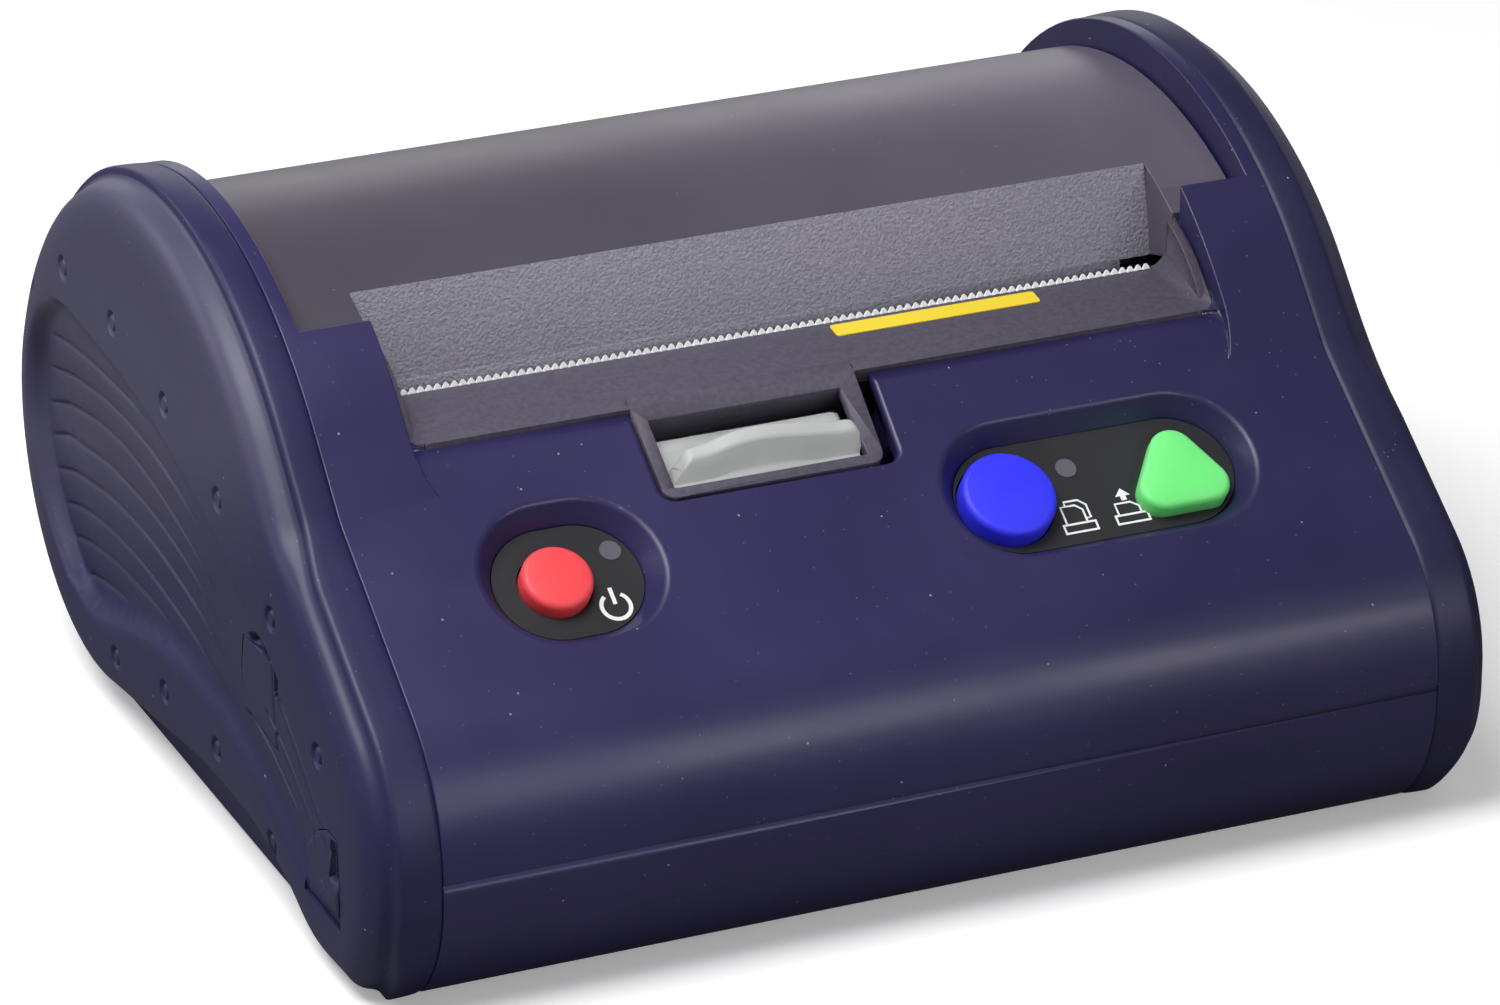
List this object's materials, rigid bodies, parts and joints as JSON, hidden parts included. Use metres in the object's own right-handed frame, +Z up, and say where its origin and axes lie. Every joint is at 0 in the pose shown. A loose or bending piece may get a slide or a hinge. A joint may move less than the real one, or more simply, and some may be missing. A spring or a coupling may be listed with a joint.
{
  "type": "portable receipt printer",
  "caption": "Desktop-portable thermal receipt printer: barrel-shaped paper cover over a sloping control panel, rubber end caps, release lever and push buttons.",
  "frame": {"origin": "on the table under the middle of the casing, between its end caps", "axes": "+X to the printer's right, +Y to its back, +Z up"},
  "size_m": [0.1606, 0.1428, 0.0835],
  "materials": {
    "case_plastic": "fine satin moulding texture",
    "cap_rubber": "matt moulded rubber",
    "cover_plastic": "satin, with a sanded recess",
    "head_plastic": "finely textured",
    "inner_plastic": "plain moulded",
    "lever_plastic": "smooth satin",
    "lens_plastic": "matt printed panel",
    "led_plastic": "smoked translucent pipe",
    "button_red": "smooth",
    "button_blue": "smooth",
    "button_green": "smooth",
    "strip_yellow": "printed film",
    "steel": "plain",
    "motor_can": "zinc plated",
    "heat_sink": "plain",
    "head_ceramic": "glazed ceramic stands in as a hard gloss solid",
    "gear_plastic": "moulded acetal",
    "roller_rubber": "ground matt",
    "foot_rubber": "matt",
    "board": "solder mask",
    "flex": "polyimide film"
  },
  "bodies": {
    "casing": {"lower_case": "case_plastic", "upper_case": "case_plastic", "left_end_cap": "cap_rubber", "right_end_cap": "cap_rubber", "head_cover": "head_plastic", "tear_blade": "steel", "index_strip": "strip_yellow", "power_panel": "lens_plastic", "function_panel": "lens_plastic", "power_led": "led_plastic", "status_led": "led_plastic", "main_board": "board", "tact_switches": "inner_plastic", "print_frame": "steel", "thermal_head": "head_ceramic", "head_plate": "heat_sink", "head_springs": "steel", "head_cable": "flex", "feed_motor": "motor_can", "gear_post": "steel", "paper_well": "inner_plastic", "paper_sensor": "inner_plastic", "dc_jack": "inner_plastic", "usb_port": "inner_plastic", "case_screws": "steel", "feet": "foot_rubber", "hinge_pin": "steel", "lever_shaft": "steel", "lever_spring": "steel", "battery_contacts": "steel"},
    "cover": {"paper_cover": "cover_plastic", "platen_holder": "inner_plastic", "platen_bushes": "inner_plastic"},
    "platen": {"platen_shaft": "steel", "platen_roller": "roller_rubber", "platen_gear": "gear_plastic"},
    "idler": {"idler_gear": "gear_plastic"},
    "pinion": {"motor_pinion": "gear_plastic"},
    "lever": {"release_lever": "lever_plastic"},
    "lock": {"lock_hooks": "steel", "lock_shaft": "steel", "lock_arm": "steel"},
    "power_key": {"power_button": "button_red"},
    "reprint_key": {"reprint_button": "button_blue"},
    "feed_key": {"feed_button": "button_green"},
    "battery": {"battery_pack": "inner_plastic"},
    "dc_flap": {"dc_port_flap": "cap_rubber"},
    "usb_flap": {"usb_port_flap": "cap_rubber"}
  },
  "joints": [
    {"name": "cover_open", "type": "hinge", "parent": "casing", "child": "cover", "pos_m": [0, 0.0674, 0.034], "axis": [-1, 0, 0], "range_deg": [0, 95]},
    {"name": "platen_spin", "type": "hinge", "parent": "cover", "child": "platen", "pos_m": [0, -0.0075, 0.0525], "axis": [1, 0, 0], "continuous": true},
    {"name": "idler_spin", "type": "hinge", "parent": "casing", "child": "idler", "pos_m": [0, -0.02413, 0.0429], "axis": [1, 0, 0], "continuous": true},
    {"name": "pinion_spin", "type": "hinge", "parent": "casing", "child": "pinion", "pos_m": [0, -0.02673, 0.02813], "axis": [1, 0, 0], "continuous": true},
    {"name": "lever_push", "type": "hinge", "parent": "casing", "child": "lever", "pos_m": [0, -0.0285, 0.0441], "axis": [-1, 0, 0], "range_deg": [0, 7.5], "stiffness_Nm_per_rad": 0.05},
    {"name": "lock_release", "type": "hinge", "parent": "casing", "child": "lock", "pos_m": [0, -0.014, 0.0395], "axis": [1, 0, 0], "range_deg": [0, 6]},
    {"name": "power_press", "type": "slide", "parent": "casing", "child": "power_key", "axis": [0, 0.5634, -0.8262], "range_m": [0, 0.0008], "stiffness_N_per_m": 800},
    {"name": "reprint_press", "type": "slide", "parent": "casing", "child": "reprint_key", "axis": [0, 0.5634, -0.8262], "range_m": [0, 0.0008], "stiffness_N_per_m": 800},
    {"name": "feed_press", "type": "slide", "parent": "casing", "child": "feed_key", "axis": [0, 0.5634, -0.8262], "range_m": [0, 0.0008], "stiffness_N_per_m": 800},
    {"name": "battery_slide", "type": "slide", "parent": "casing", "child": "battery", "axis": [0, 1, 0], "range_m": [0, 0.06]},
    {"name": "dc_flap_open", "type": "hinge", "parent": "casing", "child": "dc_flap", "pos_m": [-0.0792, -0.05325, 0.0103], "axis": [0, -1, 0], "range_deg": [0, 90]},
    {"name": "usb_flap_open", "type": "hinge", "parent": "casing", "child": "usb_flap", "pos_m": [-0.0792, -0.0299, 0.0253], "axis": [0, -1, 0], "range_deg": [0, 90]}
  ],
  "couplings": [
    {"joint": "idler_spin", "follows": "platen_spin", "ratio": -0.77778},
    {"joint": "pinion_spin", "follows": "platen_spin", "ratio": 2},
    {"joint": "lock_release", "follows": "lever_push", "ratio": 0.8}
  ]
}
